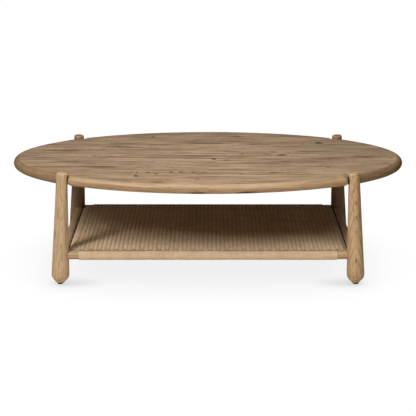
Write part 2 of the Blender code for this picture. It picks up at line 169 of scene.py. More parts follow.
def make_floor():
    """The floor that the camera sees, with painted shadow near the table, and one that bounces
    light.
    """
    floor = make_plane("studio_floor", 0.0)
    graph = Graph("studio_floor")
    # Painted shadow: the floor's glow dims where the table hems it in, broadly and close to the
    # feet.
    wide, tight = (graph.occlusion(distance, 12) for distance in (0.5, 0.09))
    glow = graph.times(graph.fit(wide, 0.2, 0.9, 0.86, 1.01, False),
                       graph.fit(tight, 0.3, 0.97, 0.80, 1.0, False))
    x, y, _z = graph.parts(graph.object_place())[:3]
    # Painted shadow as a soft patch inward of each front foot.
    inward = graph.math("DIVIDE", graph.math("SUBTRACT", graph.math("ABSOLUTE", x), 0.490), 0.095)
    nearby = graph.math("DIVIDE", graph.math("SUBTRACT", y, -0.300), 0.055)
    foot_shadow_patch = graph.vector("LENGTH", graph.joined(inward, nearby, 0.0))
    show_to_camera_only(floor, graph, graph.times(glow, graph.fit(foot_shadow_patch, 0.0, 1.3, 0.87, 1.0)))

    bounce = make_plane("studio_floor_bounce", -0.001)
    graph = Graph("studio_floor_bounce")
    graph.feed_shader(("Base Color", (0.94, 0.83, 0.68, 1.0)), ("Roughness", 1.0))
    paint(bounce, graph.material)
    bounce.visible_camera = bounce.visible_glossy = False


def make_studio():
    bpy.context.scene.view_settings.view_transform = "Standard"
    world = bpy.data.worlds.new("studio")
    world.use_nodes = True
    background = world.node_tree.nodes["Background"]
    background.inputs["Color"].default_value = WHITE
    background.inputs["Strength"].default_value = 0.055
    bpy.context.scene.world = world
    make_floor()
    area_light("key", (-2.58, -3.07, 4.03), (0.0, 0.0, 0.25), (1.1, 2.6), 196)
    area_light("right_fill", (1.05, -1.90, 2.75), (0.0, 0.0, 0.25), (1.3, 1.3), 25)
    area_light("left_wall", (-2.9, 0.1, 1.5), (0.0, 0.0, 0.2), (1.2, 1.2), 4)
    back_fill = area_light("back_fill", (0.7, 4.2, 1.3), (0.0, 0.3, 0.25), (2.0, 1.0), 17)
    back_fill.visible_glossy = False
    area_light("floor_glow", (0.0, -1.1, 0.03), (0.0, -0.42, 0.40), (1.8, 0.4), 1.5)
    area_light("overhead", (0.0, -0.44, 1.75), (0.0, -0.24, 0.3), (0.8, 0.5), 12)
    make_dome()


# Node graphs
class Graph:
    """A Principled material whose inputs are built with short calls."""

    def __init__(self, name):
        self.material = bpy.data.materials.new(name)
        self.material.use_nodes = True
        self.tree = self.material.node_tree
        self.shader = self.tree.nodes["Principled BSDF"]

    def node(self, kind, inputs=(), **settings):
        """A new node. inputs are values or sockets, in order or under their sockets' keys."""
        node = self.tree.nodes.new(kind)
        for key, value in settings.items():
            setattr(node, key, value)
        for key, value in inputs.items() if isinstance(inputs, dict) else enumerate(inputs):
            self.feed(node.inputs[key], value)
        return node

    def feed(self, socket, value):
        if isinstance(value, bpy.types.NodeSocket):
            self.tree.links.new(value, socket)
        elif value is not None:
            socket.default_value = value

    def feed_shader(self, *inputs):
        for name, value in inputs:
            self.feed(self.shader.inputs[name], value)

    def math(self, operation, a, b=None, c=None, clamp=False):
        node = self.node("ShaderNodeMath", (a, b, c), operation=operation, use_clamp=clamp)
        return node.outputs[0]

    def plus(self, a, b, clamp=False):
        return self.math("ADD", a, b, clamp=clamp)

    def times(self, a, b):
        return self.math("MULTIPLY", a, b)

    def vector(self, operation, a, b=None):
        node = self.node("ShaderNodeVectorMath", (a, b), operation=operation)
        return node.outputs["Value"] if operation == "LENGTH" else node.outputs["Vector"]

    def parts(self, vector):
        return self.node("ShaderNodeSeparateXYZ", (vector,)).outputs

    def joined(self, x, y, z):
        return self.node("ShaderNodeCombineXYZ", (x, y, z)).outputs[0]

    def noise(self, vector, scale, detail=2.0, roughness=0.5):
        """Noise whose grid has its own scale on each axis, in cells per metre."""
        return self.node("ShaderNodeTexNoise", {
            "Vector": self.vector("MULTIPLY", vector, scale), "Scale": 1.0, "Detail": detail,
            "Roughness": roughness}).outputs["Fac"]

    def fit(self, value, low, high, to_low=0.0, to_high=1.0, smooth=True):
        return self.node("ShaderNodeMapRange", {
            "Value": value, "From Min": low, "From Max": high, "To Min": to_low, "To Max": to_high,
        }, interpolation_type="SMOOTHSTEP" if smooth else "LINEAR").outputs["Result"]

    def mix(self, share, a, b, blend="MIX"):
        return self.node("ShaderNodeMix", {0: share, 6: a, 7: b}, data_type="RGBA",
                         blend_type=blend).outputs[2]

    def attribute(self, name, output="Vector"):
        return self.node("ShaderNodeAttribute", attribute_name=name).outputs[output]

    def object_place(self):
        return self.node("ShaderNodeTexCoord").outputs["Object"]

    def occlusion(self, distance, samples):
        return self.node("ShaderNodeAmbientOcclusion", {"Distance": distance},
                         samples=samples).outputs["AO"]

    def finish(self, color, roughness, height, depth, specular=0.5):
        """The finished material; depth is how deep its bumps are, in metres."""
        bump = self.node("ShaderNodeBump", {"Strength": 1.0, "Distance": depth, "Height": height})
        self.feed_shader(("Base Color", color), ("Roughness", roughness),
                         ("Specular IOR Level", specular), ("Normal", bump.outputs["Normal"]))
        return self.material


def srgb(red, green, blue):
    """Linear colour of 8-bit display values."""
    linear = [((c / 255 + 0.055) / 1.055) ** 2.4 for c in (red, green, blue)]
    return (*linear, 1.0)


# Materials
def oak_material(name, light, dark, marks=(), streak=0.45, rings=0.25, rings_pitch=0.0042,
                 ring_width=0.75, fineness=1.0, sway=0.005, mottle=0.4, lines=0.3,
                 line_scale=(60.0, 3.2), fleck_scale=(60.0, 34.0), flecks=0.7, crevice_shade=0.75):
    """Oiled oak. The grain attribute holds metres across, depth and along the grain, from the
    pith of the log, so rings, pores and streaks all follow the piece's own direction.
    marks are small knots and checks: along, across, depth, length, width, strength."""
    graph = Graph(name)
    grain = graph.attribute("grain")

    offset = [graph.fit(graph.noise(place, (9.0, 9.0, 2.2)), 0.25, 0.75, -sway, sway, False)
              for place in (grain, graph.vector("ADD", grain, (3.1, 7.7, 1.3)))]
    bent = graph.vector("ADD", grain, graph.joined(*offset, 0.0))

    def cells(across, along, detail=2.0, roughness=0.5):
        return graph.noise(bent, (across, across, along), detail, roughness)

    across, depth, _along = graph.parts(bent)[:3]
    radius = graph.vector("LENGTH", graph.joined(across, depth, 0.0))
    ring_place = graph.math("MULTIPLY_ADD", cells(60.0, 9.0, 3.0), 0.35 * rings_pitch, radius)
    ring = graph.math("FRACT", graph.math("DIVIDE", ring_place, rings_pitch))
    early = graph.math("SUBTRACT", graph.fit(ring, 0.0, 0.12), graph.fit(ring, 0.12, ring_width))
    early = graph.times(early, graph.fit(cells(90.0, 5.0), 0.3, 0.65))

    fine = cells(620.0, 24.0, 3.0, 0.6)
    pore = graph.fit(cells(2300.0, 90.0), 0.60, 0.70)
    pore = graph.times(pore, graph.math("MULTIPLY_ADD", early, 0.6, 0.4))

    tone = 0.0
    for layer, low, high, amount in (
            (cells(40.0, 1.8, 3.0, 0.6), 0.32, 0.70, 0.24),
            (cells(80.0 * fineness, 5.0 * fineness, 3.0, 0.6), 0.42, 0.72, mottle),
            (cells(*(scale * fineness for scale in line_scale), 1.0), 0.61, 0.67, lines),
            (cells(190.0 * fineness, 10.0 * fineness, 4.0, 0.65), 0.42, 0.74, streak)):
        tone = graph.plus(tone, graph.fit(layer, low, high, 0.0, amount))
    tone = graph.math("MULTIPLY_ADD", early, rings, tone)
    tone = graph.plus(tone, graph.fit(fine, 0.40, 0.72, 0.0, 0.22), clamp=True)
    color = graph.mix(tone, light, dark)
    warm = graph.fit(cells(20.0, 4.0), 0.35, 0.7, 0.0, 0.38)
    color = graph.mix(warm, color, (1.0, 0.86, 0.70, 1.0), "MULTIPLY")

    fleck = cells(*fleck_scale, 2.0, 0.55)
    flock = graph.noise(grain, (13.0, 13.0, 5.0))
    fleck = graph.times(graph.fit(fleck, 0.63, 0.71, 0.0, flecks),
                        graph.fit(flock, 0.42, 0.60, 0.25, 1.0))
    color = graph.mix(fleck, color, (0.085, 0.050, 0.028, 1.0))
    color = graph.mix(graph.times(pore, 0.5), color, (0.10, 0.055, 0.025, 1.0))

    if marks:
        edge_noise = graph.noise(grain, (260.0, 260.0, 60.0), 3.0)
        darkest = 0.0
        for mark_along, mark_across, mark_depth, length, width, strength in marks:
            near = graph.vector("SUBTRACT", grain, (mark_across, mark_depth, mark_along))
            near = graph.vector("MULTIPLY", near, (1 / width, 1 / width, 1 / length))
            reach = graph.math("MULTIPLY_ADD", edge_noise, 1.3, graph.vector("LENGTH", near))
            spot = graph.fit(reach, 1.0, 1.75, strength, 0.0)
            darkest = graph.math("MAXIMUM", spot, darkest)
        color = graph.mix(darkest, color, (0.022, 0.012, 0.006, 1.0))

    # Painted shade: darker in crevices and tight corners, by how hemmed in each point is;
    # crevice_shade sets how dark.
    crevice = graph.fit(graph.occlusion(0.011, 6), 0.35, 0.80, crevice_shade, 0.0)
    color = graph.mix(crevice, color, (0.045, 0.024, 0.012, 1.0))
    roughness = graph.plus(graph.fit(fine, 0.3, 0.7, 0.42, 0.52, False), graph.times(pore, 0.15))
    height = graph.plus(graph.times(pore, -0.7), graph.times(fine, 0.35))
    return graph.finish(color, roughness, height, 0.00012)


PLIES = 3
PLY_PITCH = 0.011


def cord_material():
    """Three-ply twisted paper. The cord attribute holds metres along the cord and the cosine and
    sine of the angle round it; tone is each strand's own tone, lowered by painted shade."""
    graph = Graph("paper_cord_twisted")
    along, cosine, sine = graph.parts(graph.attribute("cord"))[:3]
    turn = graph.math("ARCTAN2", sine, cosine)
    twist = graph.math("MULTIPLY_ADD", along, 2 * pi * PLIES / PLY_PITCH,
                       graph.times(turn, PLIES))
    ply = graph.math("COSINE", twist)
    groove = graph.fit(ply, -1.0, -0.35, 1.0, 0.0)
    place = graph.object_place()
    fibre = graph.noise(place, (900.0, 900.0, 900.0), 3.0, 0.6)
    patch = graph.noise(place, (24.0, 24.0, 24.0), 3.0, 0.6)
    tone = graph.plus(graph.attribute("tone", "Fac"), graph.fit(patch, 0.3, 0.7, -0.08, 0.08))
    tone = graph.plus(tone, graph.fit(fibre, 0.3, 0.7, -0.06, 0.06), clamp=True)
    color = graph.mix(tone, srgb(166, 131, 96), srgb(247, 222, 187))
    # Painted shade in the grooves between the plies, which are also bumped in.
    color = graph.mix(graph.times(groove, 0.45), color, srgb(150, 116, 80))
    # Painted shade: where the tone was lowered below its own range the cord goes dark brown.
    hidden = graph.fit(graph.attribute("tone", "Fac"), -0.5, 0.2, 0.92, 0.0)
    color = graph.mix(hidden, color, srgb(46, 34, 24))
    height = graph.plus(graph.times(groove, -1.0), graph.times(fibre, 0.15))
    return graph.finish(color, graph.fit(fibre, 0.3, 0.7, 0.72, 0.86), height, 0.0004, 0.25)


def nylon_material():
    graph = Graph("black_nylon_moulded")
    place = graph.object_place()
    grit = graph.noise(place, (2600.0, 2600.0, 2600.0), 2.0)
    dust = graph.noise(place, (160.0, 160.0, 160.0), 4.0, 0.65)
    color = graph.mix(graph.fit(dust, 0.50, 0.80, 0.0, 0.4), srgb(8, 8, 8), srgb(28, 27, 26))
    return graph.finish(color, graph.fit(dust, 0.3, 0.7, 0.42, 0.62), grit, 0.00005, 0.25)


def zinc_material(name, dark, light, roughness):
    graph = Graph(name)
    place = graph.object_place()
    spangle = graph.noise(place, (420.0, 420.0, 420.0), 3.0, 0.6)
    scratch = graph.noise(place, (180.0, 1900.0, 1900.0), 2.0)
    color = graph.mix(graph.fit(spangle, 0.35, 0.7), dark, light)
    graph.feed_shader(("Metallic", 1.0))
    rough = graph.fit(spangle, 0.3, 0.7, roughness, roughness + 0.17)
    return graph.finish(color, rough, scratch, 0.00004)


def board_material():
    """Blockboard: glued softwood strips, seen only inside the nut pockets."""
    graph = Graph("core_blockboard")
    place = graph.object_place()
    strip = graph.math("FLOOR", graph.math("DIVIDE", graph.parts(place)["Y"], 0.024))
    shade = graph.node("ShaderNodeTexWhiteNoise", {"W": strip}, noise_dimensions="1D")
    fibre = graph.noise(place, (12.0, 420.0, 420.0), 3.0, 0.6)
    color = graph.mix(shade.outputs["Value"], srgb(176, 144, 104), srgb(200, 170, 128))
    color = graph.mix(graph.fit(fibre, 0.35, 0.75, 0.0, 0.6), color, srgb(132, 98, 62))
    return graph.finish(color, graph.fit(fibre, 0.3, 0.7, 0.65, 0.8), fibre, 0.0002, 0.2)


# Mesh kit
def mesh_object(name, bm):
    bmesh.ops.recalc_face_normals(bm, faces=bm.faces)
    mesh = bpy.data.meshes.new(name)
    bm.to_mesh(mesh)
    bm.free()
    return link(name, mesh)


def freeze(obj):
    """Applies the modifiers and the placement, so that the mesh is final and in the frame."""
    bpy.context.view_layer.update()
    evaluated = obj.evaluated_get(bpy.context.evaluated_depsgraph_get())
    mesh = bpy.data.meshes.new_from_object(evaluated)
    mesh.transform(obj.matrix_world)
    obj.modifiers.clear()
    obj.data = mesh
    obj.matrix_basis = Matrix.Identity(4)
    return obj


def remove(objects):
    for obj in objects:
        bpy.data.objects.remove(obj, do_unlink=True)


def boolean(obj, cutter, operation="DIFFERENCE"):
    modifier = obj.modifiers.new(operation.lower(), "BOOLEAN")
    modifier.object = cutter
    modifier.operation = operation
    modifier.solver = "EXACT"


def cylinder(radius, start, end, steps=BORE_STEPS, name="cutter"):
    start, end = Vector(start), Vector(end)
    axis = end - start
    bm = bmesh.new()
    bmesh.ops.create_cone(bm, cap_ends=True, segments=steps, radius1=radius, radius2=radius,
                          depth=axis.length)
    turn = Vector((0, 0, 1)).rotation_difference(axis).to_matrix().to_4x4()
    bmesh.ops.transform(bm, verts=bm.verts, matrix=Matrix.Translation((start + end) / 2) @ turn)
    return mesh_object(name, bm)


def box(low, high):
    bm = bmesh.new()
    bmesh.ops.create_cube(bm, size=1.0)
    bmesh.ops.scale(bm, verts=bm.verts, vec=high - low)
    bmesh.ops.translate(bm, verts=bm.verts, vec=(low + high) / 2)
    return mesh_object("cutter", bm)


def turned(name, profile, steps=TURN_STEPS):
    """A solid turned about Z. profile is (radius, height), top to bottom, its ends on Z."""
    bm = bmesh.new()
    top = bm.verts.new((0, 0, profile[0][1]))
    bottom = bm.verts.new((0, 0, profile[-1][1]))
    rings = []
    for radius, height in profile[1:-1]:
        ring = []
        for i in range(steps):
            angle = 2 * pi * i / steps
            ring.append(bm.verts.new((radius * cos(angle), radius * sin(angle), height)))
        rings.append(ring)
    for i in range(steps):
        j = (i + 1) % steps
        bm.faces.new((top, rings[0][i], rings[0][j]))
        bm.faces.new((bottom, rings[-1][j], rings[-1][i]))
        for upper, lower in zip(rings, rings[1:]):
            bm.faces.new((upper[i], lower[i], lower[j], upper[j]))
    return mesh_object(name, bm)


def rounded_corner(before, corner, after, radius, steps):
    """Arc that rounds a profile's corner, as points from one straight side to the other."""
    before, corner, after = Vector(before), Vector(corner), Vector(after)
    side_in = (before - corner).normalized()
    side_out = (after - corner).normalized()
    half_angle = side_in.angle(side_out) / 2
    centre = corner + (side_in + side_out).normalized() * radius / sin(half_angle)
    reach = radius / tan(half_angle)
    first = corner + side_in * reach - centre
    last = corner + side_out * reach - centre
    sweep = first.angle_signed(last)
    points = []
    for i in range(steps + 1):
        turn = Matrix.Rotation(-sweep * i / steps, 2)
        points.append(tuple(centre + turn @ first))
    return points


def shade(obj, degrees=30):
    """Smooth shading with sharp corners; the large level faces stay flat."""
    obj.data.shade_smooth()
    for polygon in obj.data.polygons:
        if polygon.loop_total > 8:
            polygon.use_smooth = False
    obj.data.set_sharp_from_angle(angle=radians(degrees))


def points_of(obj):
    points = np.empty(len(obj.data.vertices) * 3, np.float32)
    obj.data.vertices.foreach_get("co", points)
    return points.reshape(-1, 3).astype(float)


def set_attribute(obj, name, values, kind="FLOAT_VECTOR"):
    attribute = obj.data.attributes.new(name, kind, "POINT")
    key = "vector" if kind == "FLOAT_VECTOR" else "value"
    attribute.data.foreach_set(key, np.asarray(values, np.float32).ravel())


def paint(obj, material):
    obj.data.materials.clear()
    obj.data.materials.append(material)


def dress(obj, material, node=None, body="table"):
    """Gives a piece its material and slot, the body it rides on and the node it replaces."""
    paint(obj, material)
    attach(obj, body)
    if node:
        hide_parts(node)


# Legs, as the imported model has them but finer
def leg_radius(height):
    return LEG_BELLY_RADIUS - LEG_TAPER * (height - LEG_BELLY_HEIGHT)


def leg_axis_x(height):
    return LEG_FOOT_X - height * tan(LEG_SPLAY)


def leg_profile(grow=0.0):
    top_radius = leg_radius(LEG_TOP_HEIGHT)
    belly = (leg_radius(LEG_CORNER_HEIGHT), LEG_CORNER_HEIGHT)
    points = [(0.0, LEG_TOP_HEIGHT + grow)]
    points += rounded_corner((0, LEG_TOP_HEIGHT), (top_radius, LEG_TOP_HEIGHT), belly,
                             LEG_TOP_ROUND, 8)
    points += [(leg_radius(0.40 - 0.04 * i), 0.40 - 0.04 * i) for i in range(9)]
    points += rounded_corner((top_radius, LEG_TOP_HEIGHT), belly, (LEG_FOOT_RADIUS, 0.004),
                             LEG_BELLY_ROUND, 16)
    points += [(LEG_FOOT_RADIUS - 0.002, 0.002), (0.0, 0.002 - grow)]
    return [(radius + grow if radius > 0 else 0.0, height) for radius, height in points]


def leg_matrix(side):
    place = Matrix.Translation(Vector((LEG_FOOT_X, LEG_Y, 0)) * side)
    return place @ Matrix.Rotation(-side.x * LEG_SPLAY, 4, "Y")


def foot_point(side, height):
    return Vector((leg_axis_x(GLIDE_HEIGHT), LEG_Y, height)) * side


def joint_point(side, distance):
    """Point on the joint bolt's axis at a distance from the leg axis, towards the middle."""
    leg_x = leg_axis_x(MID_HEIGHT)
    outward = Vector((leg_x / TOP_LENGTH ** 2, LEG_Y / TOP_DEPTH ** 2, 0)).normalized()
    return (Vector((leg_x, LEG_Y, MID_HEIGHT)) - outward * distance) * side


def tenon_span(side, along_x):
    """(back end, tip) of a rail's tenon in a leg."""
    radius = leg_radius(RAIL_HEIGHT)
    into = TENON_LENGTH - radius
    if along_x:
        x, y, back = leg_axis_x(RAIL_HEIGHT) + into, LEG_Y, (radius + TENON_BACK, 0, 0)
    else:
        x, y, back = SIDE_RAIL_X, LEG_Y + into, (0, radius + TENON_BACK, 0)
    tip = Vector((x, y, RAIL_HEIGHT)) * side
    return tip - Vector(back) * side, tip


# Where each leg's log has its pith, x and y, and how it runs: lean in degrees, slope, start
LEG_LOGS = {
    "front_left": (0.075, -0.030, 0.4, 0.03, 0.5),
    "front_right": (-0.004, -0.036, 1.2, 0.045, 2.7),
    "back_right": (0.035, 0.030, 1.4, 0.05, 4.1),
    "back_left": (0.040, 0.012, -1.5, -0.04, 6.3),
}


def make_leg(name, side):
    leg = turned(f"oak_leg_{name}", leg_profile())
    leg.data.transform(leg_matrix(side))
    stem_top = GLIDE_HEIGHT + STEM_LENGTH + 2 * FIT_GAP
    insert_top = GLIDE_HEIGHT + INSERT_LENGTH + FIT_GAP
    foot, middle = foot_point(side, 0), leg_matrix(side).translation
    cutters = [
        box(middle - Vector((FOOT_CUTTER, FOOT_CUTTER, FOOT_CUTTER)),
            middle + Vector((FOOT_CUTTER, FOOT_CUTTER, GLIDE_HEIGHT))),
        cylinder(INSERT_RADIUS + FIT_GAP, foot, foot_point(side, insert_top)),
        cylinder(STEM_RADIUS + 2 * FIT_GAP, foot, foot_point(side, stem_top)),
        cylinder(STEM_RADIUS + FIT_GAP, joint_point(side, BOLT_START - FIT_GAP),
                 joint_point(side, 0.05)),
    ]
    for along_x in (True, False):
        back, tip = tenon_span(side, along_x)
        past_tip = tip + (tip - back).normalized() * FIT_GAP
        cutters.append(cylinder(TENON_RADIUS + FIT_GAP, back, past_tip))
    for cutter in cutters:
        boolean(leg, cutter)
    freeze(leg)
    remove(cutters)
    shade(leg)

    pith_x, pith_y, lean, slope, start = LEG_LOGS[name]
    upright = np.array(leg_matrix(side).inverted())
    local = points_of(leg) @ upright[:3, :3].T + upright[:3, 3]
    across = local[:, 0] + pith_x + local[:, 2] * tan(radians(lean))
    depth = local[:, 1] + pith_y + local[:, 2] * slope
    set_attribute(leg, "grain", np.stack([across, depth, local[:, 2] + start], 1))
    return leg


def make_leg_clearance(side):
    envelope = turned("clearance", leg_profile(FIT_GAP))
    envelope.data.transform(leg_matrix(side))
    return envelope


# Top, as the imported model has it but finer
def oval_point(angle, inset=0.0):
    half_length, half_depth = TOP_LENGTH / 2, TOP_DEPTH / 2
    point = Vector((half_length * cos(angle), half_depth * sin(angle)))
    normal = Vector((-cos(angle) / half_length, -sin(angle) / half_depth)).normalized()
    return point + normal * inset, normal


def mouth_angle(leg, notch_radius, low, high):
    """Oval angle where the rounded mouth corner leaves the oval, found by halving."""
    reach = notch_radius + NOTCH_MOUTH_RADIUS
    for _ in range(40):
        middle = (low + high) / 2
        centre, _normal = oval_point(middle, NOTCH_MOUTH_RADIUS)
        if (centre - leg).length > reach:
            high = middle
        else:
            low = middle
    return (low + high) / 2


def quarter_outline():
    """Outline of the top from the right end to the far middle, round one leg notch, as
    (point, inward normal, rounding, leg share)."""
    leg = Vector((leg_axis_x(MID_HEIGHT), LEG_Y))
    notch_radius = leg_radius(MID_HEIGHT) + NOTCH_GAP
    leg_angle = atan2(leg.y / TOP_DEPTH, leg.x / TOP_LENGTH)
    first = mouth_angle(leg, notch_radius, leg_angle, 0.0)
    last = mouth_angle(leg, notch_radius, leg_angle, pi / 2)
    full = TOP_THICKNESS / 2
    tight = NOTCH_MOUTH_RADIUS * 0.92

    def rim(angle):
        point, normal = oval_point(angle)
        nearest = min(abs(angle - first), abs(angle - last))
        share = min(1.0, nearest / 0.10)
        return point, normal, tight + (full - tight) * share * share * (3 - 2 * share), 0.0

    def corner(angle, steps):
        centre, normal = oval_point(angle, NOTCH_MOUTH_RADIUS)
        to_leg = (leg - centre).normalized()
        sweep = (-normal).angle_signed(to_leg)
        entries = []
        for i in range(1, steps + 1):
            share = i / steps
            outward = Matrix.Rotation(-sweep * share, 2) @ (-normal)
            rounding = tight + (NOTCH_THROAT - tight) * share
            entries.append((centre + outward * NOTCH_MOUTH_RADIUS, -outward, rounding, share))
        return entries

    corner_steps, notch_steps, steps = 10, 26, 50
    before = [rim(first * (i / steps) ** 0.9) for i in range(steps + 1)]
    rest = pi / 2 - last
    after = [rim(last + rest * (i / steps) ** 1.1) for i in range(steps + 1)]
    corner_in = corner(first, corner_steps)
    corner_out = corner(last, corner_steps)
    start = corner_in[-1][0] - leg
    sweep = start.angle_signed(corner_out[-1][0] - leg)
    if sweep < 0:
        sweep += 2 * pi
    notch = []
    for i in range(1, notch_steps):
        away = Matrix.Rotation(-sweep * i / notch_steps, 2) @ start.normalized()
        into = min(i, notch_steps - i) * sweep / notch_steps
        share = min(1.0, into / THROAT_SWEEP)
        rounding = NOTCH_THROAT + (NOTCH_ARRIS - NOTCH_THROAT) * share * share * (3 - 2 * share)
        notch.append((leg + away * notch_radius, away, rounding, 1.0))
    return before + corner_in + notch + corner_out[::-1] + after


def top_outline():
    quarter = quarter_outline()
    mirrored = []
    for side_x, side_y in ((1, 1), (-1, 1), (-1, -1), (1, -1)):
        flip = Vector((side_x, side_y))
        copy = [(point * flip, normal * flip, rounding, share, side_x)
                for point, normal, rounding, share in quarter]
        if side_x * side_y < 0:
            copy.reverse()
        mirrored += copy[:-1]
    return mirrored


def make_top_blank():
    outline = top_outline()
    bm = bmesh.new()
    rings = []
    for step in range(EDGE_STEPS + 1):
        turn = pi * step / EDGE_STEPS
        rise = TOP_THICKNESS / 2 * cos(turn)
        ring = []
        for point, normal, rounding, share, side_x in outline:
            spot = point + normal * rounding * (1 - sin(turn))
            spot = spot - normal * share * LEG_TAPER * rise
            lean = -side_x * share * tan(LEG_SPLAY) * rise
            ring.append(bm.verts.new((spot.x + lean, spot.y, MID_HEIGHT + rise)))
        rings.append(ring)
    count = len(outline)
    for upper, lower in zip(rings, rings[1:]):
        for i in range(count):
            j = (i + 1) % count
            bm.faces.new((upper[i], lower[i], lower[j], upper[j]))
    bm.faces.new(rings[0])
    bm.faces.new(rings[-1])
    return mesh_object("top_blank", bm)


def oval_prism(inset, low, high):
    bm = bmesh.new()
    bmesh.ops.create_cone(bm, cap_ends=True, segments=OVAL_STEPS, radius1=1, radius2=1, depth=1)
    size = Vector((TOP_LENGTH / 2 - inset, TOP_DEPTH / 2 - inset, high - low))
    bmesh.ops.scale(bm, verts=bm.verts, vec=size)
    bmesh.ops.translate(bm, verts=bm.verts, vec=(0, 0, (low + high) / 2))
    return mesh_object("prism", bm)


def cut_copy(source, name, *cuts):
    """A frozen copy of an object after (cutter, operation) cuts."""
    piece = link(name, source.data.copy())
    for cutter, operation in cuts:
        boolean(piece, cutter, operation)
    return freeze(piece)


def make_veneers(blank):
    pieces = []
    layers = {
        "face_veneer": (TOP_HEIGHT - VENEER_THICKNESS, TOP_HEIGHT + 0.01),
        "backing_veneer": (UNDERSIDE - 0.01, UNDERSIDE + VENEER_THICKNESS),
    }
    for name, (low, high) in layers.items():
        prism = oval_prism(RIM_WIDTH + FIT_GAP, low, high)
        cutters = [prism]
        cuts = [(prism, "INTERSECT")]
        if name == "backing_veneer":
            for side in SIDES.values():
                middle = joint_point(side, POCKET_DISTANCE)
                pocket = cylinder(POCKET_RADIUS, (middle.x, middle.y, low), middle)
                cutters.append(pocket)
                cuts.append((pocket, "DIFFERENCE"))
        piece = cut_copy(blank, name, *cuts)
        remove(cutters)
        shade(piece)
        place = points_of(piece)
        pith_depth = FACE_DEPTH if name == "face_veneer" else -0.07
        depth = np.full(len(place), pith_depth)
        set_attribute(piece, "grain", np.stack([place[:, 1], depth, place[:, 0]], 1))
        pieces.append(piece)
    return pieces


def sawn(source, name, planes):
    """A copy of a solid after square cuts. Each plane is (axis, place, side to remove)."""
    bm = bmesh.new()
    bm.from_mesh(source.data)
    for axis, place, side in planes:
        normal = Vector((0, 0, 0))
        normal[axis] = side
        whole = bm.verts[:] + bm.edges[:] + bm.faces[:]
        cut = bmesh.ops.bisect_plane(bm, geom=whole, plane_co=normal * side * place,
                                     plane_no=normal, clear_outer=True)
        edges = [item for item in cut["geom_cut"] if isinstance(item, bmesh.types.BMEdge)]
        bmesh.ops.edgenet_fill(bm, edges=edges)
    return mesh_object(name, bm)


def make_rims(blank):
    inner = oval_prism(RIM_WIDTH, 0.3, 0.5)
    ring = cut_copy(blank, "rim_ring", (inner, "DIFFERENCE"))
    half_joint = FIT_GAP / 2
    left_half = (0, -half_joint, 1), (0, -NOTCH_X, -1)
    right_half = (0, half_joint, -1), (0, NOTCH_X, 1)
    spans = {
        "front_left": ((1, 0, 1), *left_half),
        "front_right": ((1, 0, 1), *right_half),
        "back_left": ((1, 0, -1), *left_half),
        "back_right": ((1, 0, -1), *right_half),
        "left": ((0, -NOTCH_X, 1),),
        "right": ((0, NOTCH_X, -1),),
    }
    pieces = {}
    for index, (name, planes) in enumerate(spans.items()):
        piece = sawn(ring, f"oak_rim_{name}", planes)
        shade(piece)
        place = points_of(piece)
        angle = np.arctan2(place[:, 1] / TOP_DEPTH, place[:, 0] / TOP_LENGTH)
        if name == "left":
            angle = np.where(angle < 0, angle + 2 * pi, angle)
        reach = np.hypot(place[:, 0] / (TOP_LENGTH / 2), place[:, 1] / (TOP_DEPTH / 2))
        mean_radius = (TOP_LENGTH + TOP_DEPTH) / 4
        across = (reach - 1) * mean_radius * 0.9 + 0.05 + 0.01 * index
        grain = [across, place[:, 2] - MID_HEIGHT + 0.03, angle * mean_radius + 1.7 * index]
        set_attribute(piece, "grain", np.stack(grain, 1))
        pieces[name] = piece
    remove([inner, ring])
    return pieces


# Rails
def make_rail(name, ends, along_x, log):
    points = [tenon_span(SIDES[end], along_x)[1] for end in ends]
    rail = cylinder(RAIL_RADIUS, *points, TURN_STEPS, f"oak_rail_{name}")
    cutters = []
    for end in ends:
        cutters.append(make_leg_clearance(SIDES[end]))
        boolean(rail, cutters[-1])
    for end in ends:
        back, tip = tenon_span(SIDES[end], along_x)
        cutters.append(cylinder(TENON_RADIUS, back, tip, TENON_STEPS))
        boolean(rail, cutters[-1], "UNION")
    freeze(rail)
    remove(cutters)
    shade(rail)
    place = points_of(rail)
    along, across = (place[:, 0], place[:, 1]) if along_x else (place[:, 1], place[:, 0])
    centre = across.min() + RAIL_RADIUS
    depth = place[:, 2] - RAIL_HEIGHT + 0.012 + along * 0.03
    grain = [across - centre + log, depth, along + 9 * log]
    set_attribute(rail, "grain", np.stack(grain, 1))
    return rail


